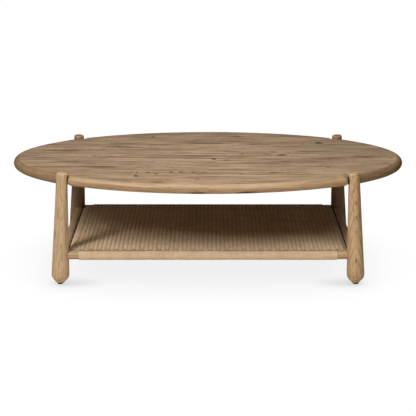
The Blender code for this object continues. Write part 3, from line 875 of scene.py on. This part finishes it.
# Paper cord
def tubes(name, paths, side_axis, radius=CORD_RADIUS, sides=6, closed=False, variety=0.035,
          painted_shade=0.0):
    """One mesh of round strands. paths is (strands, points, 3); side_axis is never along a path.
    painted_shade lowers the tone of single points, as painted shade where strands dip out of sight
    or touch."""
    paths = np.asarray(paths, float)
    strands, count = paths.shape[:2]
    ahead, behind = np.roll(paths, -1, 1), np.roll(paths, 1, 1)
    if not closed:
        ahead[:, -1], behind[:, 0] = paths[:, -1], paths[:, 0]
    tangent = ahead - behind
    tangent /= np.linalg.norm(tangent, axis=2, keepdims=True)
    first = np.cross(tangent, np.asarray(side_axis, float))
    first /= np.linalg.norm(first, axis=2, keepdims=True)
    second = np.cross(tangent, first)
    angles = 2 * pi * np.arange(sides) / sides
    ring = (np.cos(angles)[:, None] * first[:, :, None]
            + np.sin(angles)[:, None] * second[:, :, None])
    vertices = paths[:, :, None] + radius * ring
    steps = np.linalg.norm(np.diff(paths, axis=1, prepend=paths[:, :1]), axis=2)
    along = np.cumsum(steps, 1) + RNG.uniform(0, 1, (strands, 1))
    cord = np.empty((strands, count, sides, 3))
    cord[..., 0] = along[:, :, None]
    cord[..., 1] = np.cos(angles)
    cord[..., 2] = np.sin(angles)
    # Each point's tone is the strand's own tone less its painted shade.
    tone = RNG.normal(0.76, variety, strands)[:, None] - np.broadcast_to(painted_shade, (strands, count))
    tone = np.repeat(tone.ravel(), sides)

    index = np.arange(strands * count * sides).reshape(strands, count, sides)
    following = np.roll(index, -1, 1) if closed else index[:, 1:]
    current = index if closed else index[:, :-1]
    beside, beside_following = np.roll(current, -1, 2), np.roll(following, -1, 2)
    quads = np.stack([current, beside, beside_following, following], 3).reshape(-1, 4)
    faces = quads.tolist()
    if not closed:
        faces += index[:, 0, ::-1].tolist() + index[:, -1].tolist()
    mesh = bpy.data.meshes.new(name)
    mesh.from_pydata(vertices.reshape(-1, 3).tolist(), [], faces)
    mesh.validate()
    mesh.shade_smooth()
    obj = link(name, mesh)
    set_attribute(obj, "cord", cord.reshape(-1, 3))
    set_attribute(obj, "tone", tone, "FLOAT")
    return obj


COLUMNS = 60
TURNS = 3  # turns of winding between two pairs of warps
STRAND_PITCH = 2 * WRAP_HALF_LENGTH / (COLUMNS * (TURNS + 2) + TURNS)
COLUMN_PITCH = (TURNS + 2) * STRAND_PITCH
WIND_RADIUS = RAIL_RADIUS + CORD_RADIUS
WARP_HEIGHT = RAIL_HEIGHT + WIND_RADIUS
WEFT_RISE = 2 * CORD_RADIUS
WEFT_PAIRS = 88
WEFT_HALF_DEPTH = 0.2932
PAIR_HALF_WIDTH = 0.00165
NAIL_PLACES = ((0.5284, 0.1200), (0.5275, 0.1172))  # x and height, for every other pair
LOOP_BEND = 0.0022  # radius of a weft's turn round its nail
WEFT_REACH = 0.5238
EDGE_START = 0.509  # past the last warps the wefts run down to the nails
EDGE_COLUMNS = 2  # warp pairs past each end of the winding
LAID_START = 0.484  # past here the outer wefts lie flat on the bare rail
LAID_LENGTH = 0.010
LOWERED = 0.004  # and how far they sink there
OUTER_BULGE = 0.0080  # how far the nearest weft climbs onto the winding
# Painted shade, taken off the cords' tone: in the valleys between crossings, on loops that turn
# under, and where the outer wefts touch the winding.
VALLEY_SHADE = 0.30
HIDDEN_SHADE = 1.3
CONTACT_ANGLE = 95  # where the outer wefts touch the winding
CONTACT_SHADE = 1.0


def column_x(column):
    return -WRAP_HALF_LENGTH + (TURNS + 1) * STRAND_PITCH + column * COLUMN_PITCH


def round_rail(side_y, degrees):
    """(y, z) of a cord's middle on a long rail: 90 is the top, 180 outwards, 270 underneath."""
    angle = np.radians(degrees)
    y = side_y * (LEG_Y - WIND_RADIUS * np.cos(angle))
    return y, RAIL_HEIGHT + WIND_RADIUS * np.sin(angle)


def slant(degrees):
    """Sideways creep of a cord that winds round a long rail, one strand to a turn."""
    return STRAND_PITCH * (degrees - 180) / 360


def make_warps():
    """Pairs of cords from rail to rail. Each wraps round the outside of both rails."""
    arc = np.linspace(348, 96, 18)
    front_y, front_z = round_rail(-1, arc)
    back_y, back_z = round_rail(1, arc[::-1])
    run_y = np.linspace(-LEG_Y, LEG_Y, 30)
    y = np.concatenate([front_y, run_y, back_y])
    z = np.concatenate([front_z, np.full(len(run_y), WARP_HEIGHT), back_z])
    creep = np.concatenate([slant(arc), np.full(len(run_y), slant(90)), slant(arc[::-1])])
    # Painted shade where the warps leave the windings.
    painted_contact_shadow = np.zeros(len(y))
    painted_contact_shadow[[len(arc) - 1, len(arc) + len(run_y)]] = CONTACT_SHADE
    paths = []
    for column in range(COLUMNS):
        for lane in (-0.5, 0.5):
            x = column_x(column) + lane * STRAND_PITCH + creep
            drift = RNG.normal(0, 0.00025) * np.sin(np.linspace(0, pi, len(y)))
            paths.append(np.stack([x + drift, y, z], 1))
    return tubes("cord_warps", paths, (1, 0, 0), painted_shade=painted_contact_shadow)


def make_edge_warps():
    """Pairs past the ends of the winding, tacked to the inner sides of the long rails."""
    inner_y = LEG_Y - RAIL_RADIUS - 1.3 * CORD_RADIUS
    bend = np.radians(np.linspace(0, 90, 6))
    turn = 0.004
    down_y = np.concatenate([[inner_y, inner_y], inner_y - turn + turn * np.cos(bend)])
    down_z = np.concatenate([[RAIL_HEIGHT - 0.006, RAIL_HEIGHT + 0.006],
                             WARP_HEIGHT - turn + turn * np.sin(bend)])
    run_y = np.linspace(-inner_y + 2 * turn, inner_y - 2 * turn, 30)
    y = np.concatenate([-down_y, run_y, down_y[::-1]])
    z = np.concatenate([down_z, np.full(len(run_y), WARP_HEIGHT), down_z[::-1]])
    paths = []
    for past in range(EDGE_COLUMNS):
        for column in (-1 - past, COLUMNS + past):
            for lane in (-0.5, 0.5):
                x = column_x(column) + lane * STRAND_PITCH
                paths.append(np.stack([np.full(len(y), x), y, z], 1))
    return tubes("cord_edge_warps", paths, (1, 0, 0))


def make_winding(name, side_y):
    """Turns of cord round a long rail at both ends and between each two pairs of warps."""
    paths = []
    degrees = np.linspace(-10, TURNS * 360 - 10, 24 * TURNS + 1)
    y, z = round_rail(side_y, degrees)
    # Painted shade along the turns where the outer wefts touch the winding.
    painted_contact_shadow = CONTACT_SHADE * np.clip(1 - np.abs(degrees % 360 - CONTACT_ANGLE) / 15, 0, 1)
    for column in range(COLUMNS + 1):
        start = -WRAP_HALF_LENGTH + column * COLUMN_PITCH + 0.5 * STRAND_PITCH
        paths.append(np.stack([start + slant(degrees), y, z], 1))
    return tubes(f"cord_winding_{name}", paths, (1, 0, 0), variety=0.015, painted_shade=painted_contact_shadow)


def weft_wave(x, phase):
    """Height of a weft over or under the warps, from -1 to 1."""
    turn = (x - column_x(0)) / COLUMN_PITCH
    return phase * np.cos(pi * turn)


def clear_of_rails(loop):
    """Pushes the points of a loop out of the windings on the two long rails."""
    for side_y in (-1, 1):
        away = loop[:, 1:] - np.array([side_y * LEG_Y, RAIL_HEIGHT])
        distance = np.linalg.norm(away, axis=1, keepdims=True)
        wound = np.abs(loop[:, :1]) < WRAP_HALF_LENGTH + CORD_RADIUS
        core = np.where(wound, WIND_RADIUS + 1.9 * CORD_RADIUS, RAIL_RADIUS + 1.2 * CORD_RADIUS)
        push = np.maximum(1.0, core / distance)
        loop[:, 1:] += away * (push - 1.0)
    return loop


def nail_place(pair):
    """(x, y, z) of a nail's top; the nails nearest a leg stay clear of it."""
    x, z = NAIL_PLACES[pair % 2]
    y = weft_middle(pair)
    leg_x = leg_axis_x(WARP_HEIGHT)
    reach = leg_radius(WARP_HEIGHT) + 0.001
    aside = abs(abs(y) - LEG_Y)
    if aside < reach:
        x = min(x, leg_x - sqrt(reach ** 2 - aside ** 2) - LOOP_BEND - CORD_RADIUS)
    return x, y, z


def weft_middle(pair):
    return WEFT_HALF_DEPTH * (2 * pair / (WEFT_PAIRS - 1) - 1)


def make_weft_loop(pair, grid_x):
    """Points of one doubled weft and the painted shade on each point."""
    end, middle, nail_height = nail_place(pair)
    wave = weft_wave(grid_x, 1 if pair % 2 else -1)
    laid = np.zeros(len(grid_x))
    if pair in (0, WEFT_PAIRS - 1):
        laid = np.clip((np.abs(grid_x) - LAID_START) / LAID_LENGTH, 0, 1)
    wave = wave * (1 - laid)
    share = np.clip((np.abs(grid_x) - EDGE_START) / (grid_x.max() - EDGE_START), 0, 1)
    inner_x = np.sign(grid_x) * (np.abs(grid_x) - share * (grid_x.max() - end))
    turned_under = np.clip((share - 0.92) / 0.08, 0, 1)
    share = share * share * (3 - 2 * share)
    jitter = 0.00015 * RNG.normal(0, 1, len(grid_x))
    height = WARP_HEIGHT + WEFT_RISE * wave + jitter - LOWERED * laid
    height = height * (1 - share) + nail_height * share
    sway = 0.0004 * np.sin(inner_x * RNG.uniform(3, 9) + RNG.uniform(0, 6))
    wide = PAIR_HALF_WIDTH + 0.0006 * share
    loop_y = middle + sway * (1 - share)
    # Painted shade in the valleys where the weft crosses between over and under, and on its turn
    # under.
    hidden = VALLEY_SHADE * (1 - wave ** 2) * (1 - share) + HIDDEN_SHADE * turned_under
    if pair == 0:
        over = 0.5 + 0.5 * wave
        loop_y = loop_y - OUTER_BULGE * over * (1 - share)
        # Painted shadow under the outermost weft where it dips behind the warps.
        hidden = HIDDEN_SHADE * ((1 - over) ** 2 * (1 - share) + turned_under)
    bend = np.radians(np.linspace(-60, 60, 5))
    turn_x, turn_y = end + LOOP_BEND * np.cos(bend), LOOP_BEND * np.sin(bend)
    near = np.stack([inner_x, loop_y - wide, height], 1)
    far = np.stack([inner_x, loop_y + wide, height], 1)[::-1]
    level = np.full(len(bend), nail_height)
    right = np.stack([turn_x, middle + turn_y, level], 1)
    left = np.stack([-turn_x, middle - turn_y, level], 1)
    # Painted shade on the turns round the nails.
    turned_shade = np.full(len(bend), HIDDEN_SHADE)
    painted_shade = np.concatenate([hidden, turned_shade, hidden[::-1], turned_shade])
    return clear_of_rails(np.concatenate([near, right, far, left])), painted_shade


def make_wefts():
    """Doubled cords woven across the warps, hooked on a nail at each end."""
    spacing = COLUMN_PITCH / 6
    half_count = int(WEFT_REACH / spacing)
    grid_x = np.arange(-half_count, half_count + 1) * spacing
    group = 11
    pieces = []
    for first in range(0, WEFT_PAIRS, group):
        loops = [make_weft_loop(pair, grid_x) for pair in range(first, first + group)]
        # Each loop carries its painted shade.
        pieces.append(tubes(f"cord_wefts_{first // group + 1}", [path for path, _painted_shade in loops],
                            (0, 0, 1), closed=True, painted_shade=np.array([painted_shade for _path, painted_shade in loops])))
    return pieces


def make_nails(name, side_x):
    """L-shaped cord nails in the inner side of a short rail, one for each doubled weft."""
    paths = []
    for pair in range(WEFT_PAIRS):
        end, y, cord_height = nail_place(pair)
        z = cord_height - CORD_RADIUS - 0.0006
        spots = [(0.5385, z), (0.5320, z), (end + 0.0012, z), (end + 0.0004, z + 0.0003),
                 (end, z + 0.0012), (end, z + 0.0042)]
        paths.append([(side_x * x, y, height) for x, height in spots])
    return tubes(f"cord_nails_{name}", paths, (0, 1, 0), radius=0.0006, sides=8)


# Glides
def make_glide(name, side):
    """Moulded disc with a rounded edge and an M8 screw thread."""
    pitch, thread_depth, chamfer = 0.00125, 0.0006, 0.0012
    profile = [(0.0, 0.0002), (0.006, 0.0002), (0.0068, 0.0)]
    profile += rounded_corner((0.0068, 0.0), (GLIDE_RADIUS, 0.0), (GLIDE_RADIUS, 0.004), 0.0012, 6)
    profile += rounded_corner((GLIDE_RADIUS, 0.0), (GLIDE_RADIUS, GLIDE_HEIGHT - FIT_GAP),
                              (0.0, GLIDE_HEIGHT - FIT_GAP), 0.0006, 4)
    profile += [(STEM_RADIUS + chamfer, GLIDE_HEIGHT - FIT_GAP),
                (STEM_RADIUS + 0.0001, GLIDE_HEIGHT)]
    stem_top = GLIDE_HEIGHT + STEM_LENGTH
    stem = np.linspace(GLIDE_HEIGHT + 0.0004, stem_top - chamfer, 96)
    profile += [(STEM_RADIUS, height) for height in stem]
    profile += [(STEM_RADIUS - chamfer, stem_top), (0.0, stem_top)]
    glide = turned(f"nylon_glide_{name}", profile[::-1], 48)
    for vertex in glide.data.vertices:
        x, y, z = vertex.co
        radius = hypot(x, y)
        if z > GLIDE_HEIGHT + 0.0003 and abs(radius - STEM_RADIUS) < 1e-5:
            turn = (z / pitch - atan2(y, x) / (2 * pi)) % 1.0
            share = (radius - thread_depth * abs(2 * turn - 1)) / radius
            vertex.co.x, vertex.co.y = x * share, y * share
    glide.data.transform(Matrix.Translation(foot_point(side, 0)))
    shade(glide, 40)
    return glide


# Build
make_camera()
make_studio()

TOP_MARKS = [(*mark[:2], FACE_DEPTH, *mark[2:]) for mark in (
    (0.023, -0.050, 0.012, 0.013, 1.0),
    (0.070, -0.066, 0.016, 0.009, 0.6),
    (-0.266, -0.302, 0.009, 0.013, 1.0),
    (0.456, 0.215, 0.020, 0.015, 1.0),
    (0.292, 0.014, 0.024, 0.012, 1.0),
    (0.235, 0.032, 0.022, 0.009, 0.7),
    (0.262, 0.060, 0.018, 0.009, 0.6),
    (0.456, -0.172, 0.010, 0.011, 0.7),
    (-0.470, -0.112, 0.090, 0.009, 0.5),
    (-0.230, 0.320, 0.009, 0.013, 0.9),
    (-0.265, -0.250, 0.008, 0.010, 0.8),
    (-0.224, -0.250, 0.010, 0.010, 0.8),
    (-0.190, -0.272, 0.014, 0.009, 0.7),
    (-0.138, -0.246, 0.009, 0.010, 0.8),
    (-0.100, -0.246, 0.014, 0.010, 0.8),
    (-0.056, -0.250, 0.008, 0.009, 0.7),
    (-0.011, -0.250, 0.012, 0.009, 0.6),
    (-0.185, -0.385, 0.030, 0.010, 0.7),
    (0.245, -0.250, 0.020, 0.009, 0.6),
    (0.120, 0.330, 0.034, 0.014, 0.7),
    (0.507, -0.285, 0.009, 0.012, 0.8),
)]
RIM_MARKS = (
    (-0.965, 0.042, 0.019, 0.036, 0.010, 0.8),
    (0.873, 0.052, 0.019, 0.040, 0.010, 0.8),
    (1.206, 0.048, 0.046, 0.005, 0.009, 0.8),
    (1.208, 0.060, 0.034, 0.004, 0.008, 0.7),
)
LEG_MARKS = (
    (3.068, -0.002, -0.041, 0.006, 0.0035, 0.55),
    (2.995, -0.0045, -0.0465, 0.007, 0.0035, 0.55),
    (2.803, -0.002, -0.0627, 0.012, 0.003, 0.60),
    (2.750, -0.002, -0.067, 0.010, 0.003, 0.45),
    (3.105, -0.014, -0.028, 0.014, 0.005, 0.70),
)
RIM_LOOK = {"fineness": 1.5, "fleck_scale": (150.0, 40.0), "flecks": 0.5}
LEG_LOOK = {"rings": 0.2, "fineness": 2.2, "sway": 0.0015, "mottle": 0.25,
            "fleck_scale": (240.0, 55.0), "flecks": 0.6}
RAIL_LOOK = {"fineness": 1.8, "sway": 0.002, "mottle": 0.25, "fleck_scale": (240.0, 45.0),
             "flecks": 0.4}
OAK_TOP = oak_material("oak_face_veneer", srgb(190, 163, 133), srgb(90, 69, 48), TOP_MARKS,
                       mottle=0.38, lines=0.6, line_scale=(130.0, 4.0), streak=0.36,
                       rings=0.5, rings_pitch=0.011, ring_width=0.5)
OAK_BACKING = oak_material("oak_backing_veneer", srgb(166, 142, 114), srgb(118, 95, 70))
OAK_RIM = oak_material("oak_rim_solid", srgb(183, 155, 120), srgb(124, 95, 62), RIM_MARKS,
                       mottle=0.2, lines=0.2, **RIM_LOOK)
# A darker copy of the rim oak, as painted shade on the ends and the back of the rim.
OAK_RIM_SHADED = oak_material("oak_rim_shaded", srgb(154, 126, 92), srgb(98, 75, 50), mottle=0.3,
                             **RIM_LOOK)
OAK_LEG = oak_material("oak_leg_turned", srgb(207, 179, 142), srgb(141, 111, 77), **LEG_LOOK)
OAK_LEG_FIGURED = oak_material("oak_leg_figured", srgb(202, 171, 131), srgb(128, 98, 65),
                               LEG_MARKS, rings=0.55, rings_pitch=0.0045, ring_width=0.45,
                               fineness=2.8, sway=0.0008, mottle=0.12, lines=0.2,
                               fleck_scale=(300.0, 70.0), flecks=0.5)
# A darker copy of the leg oak, as painted shade on the back legs.
OAK_LEG_SHADED = oak_material("oak_leg_shaded", srgb(172, 140, 102), srgb(110, 82, 54), **LEG_LOOK)
OAK_RAIL = oak_material("oak_rail_turned", srgb(200, 169, 131), srgb(134, 104, 70), crevice_shade=0.2,
                        **RAIL_LOOK)
# A paler copy of the rail oak, as painted light on the side rails, which lie in the top's shade.
OAK_RAIL_PAINTED_LIGHT = oak_material("oak_rail_painted_light", srgb(230, 202, 166), srgb(168, 137, 102), crevice_shade=0.0,
                             **RAIL_LOOK)
CORD = cord_material()
NYLON = nylon_material()
# Dull zinc, made darker than bare zinc as painted shade of the gap the nails sit in.
NAIL = zinc_material("zinc_darkened_as_shade", srgb(70, 66, 60), srgb(104, 98, 90), 0.5)
ZINC = zinc_material("zinc_plated", srgb(176, 178, 182), srgb(206, 206, 200), 0.28)
BOARD = board_material()

# The back legs get the darker copy, as painted shade.
LEG_OAKS = {
    "front_left": OAK_LEG,
    "front_right": OAK_LEG_FIGURED,
    "back_right": OAK_LEG_SHADED,
    "back_left": OAK_LEG_SHADED,
}
for side_name, side_signs in SIDES.items():
    dress(make_leg(side_name, side_signs), LEG_OAKS[side_name], f"leg_{side_name}")
    glide_name = f"glide_{side_name}"
    dress(make_glide(side_name, side_signs), NYLON, glide_name, glide_name)

top_blank = make_top_blank()
face, backing = make_veneers(top_blank)
dress(face, OAK_TOP, "top_face_veneer")
dress(backing, OAK_BACKING, "top_backing_veneer")
for rim_name, rim_piece in make_rims(top_blank).items():
    # The ends and the back of the rim get the darker copy, as painted shade.
    rim_oak = OAK_RIM if rim_name.startswith("front") else OAK_RIM_SHADED
    dress(rim_piece, rim_oak, f"rim_{rim_name}")
remove([top_blank])

# Each rail's two legs, whether it runs along X, and how far its middle is from its log's pith
RAILS = {
    "front": (("front_left", "front_right"), True, 0.040),
    "back": (("back_left", "back_right"), True, 0.055),
    "left": (("front_left", "back_left"), False, 0.034),
    "right": (("front_right", "back_right"), False, 0.047),
}
for rail_name, (rail_ends, rail_along_x, rail_log) in RAILS.items():
    # The side rails get the paler copy, as painted light.
    dress(make_rail(rail_name, rail_ends, rail_along_x, rail_log),
          OAK_RAIL if rail_along_x else OAK_RAIL_PAINTED_LIGHT, f"rail_{rail_name}")

for wrap_name, wrap_side in (("front", -1), ("back", 1)):
    dress(make_winding(wrap_name, wrap_side), CORD, f"cord_wrap_{wrap_name}")
for bed_piece in (make_warps(), make_edge_warps(), *make_wefts()):
    dress(bed_piece, CORD, "woven_shelf")
for nail_name, nail_side in (("left", -1), ("right", 1)):
    dress(make_nails(nail_name, nail_side), NAIL)

for node_name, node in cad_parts.items():
    if node_name.startswith(("joint_", "glide_insert_")):
        paint(node, ZINC)
    elif node_name == "top_core":
        paint(node, BOARD)
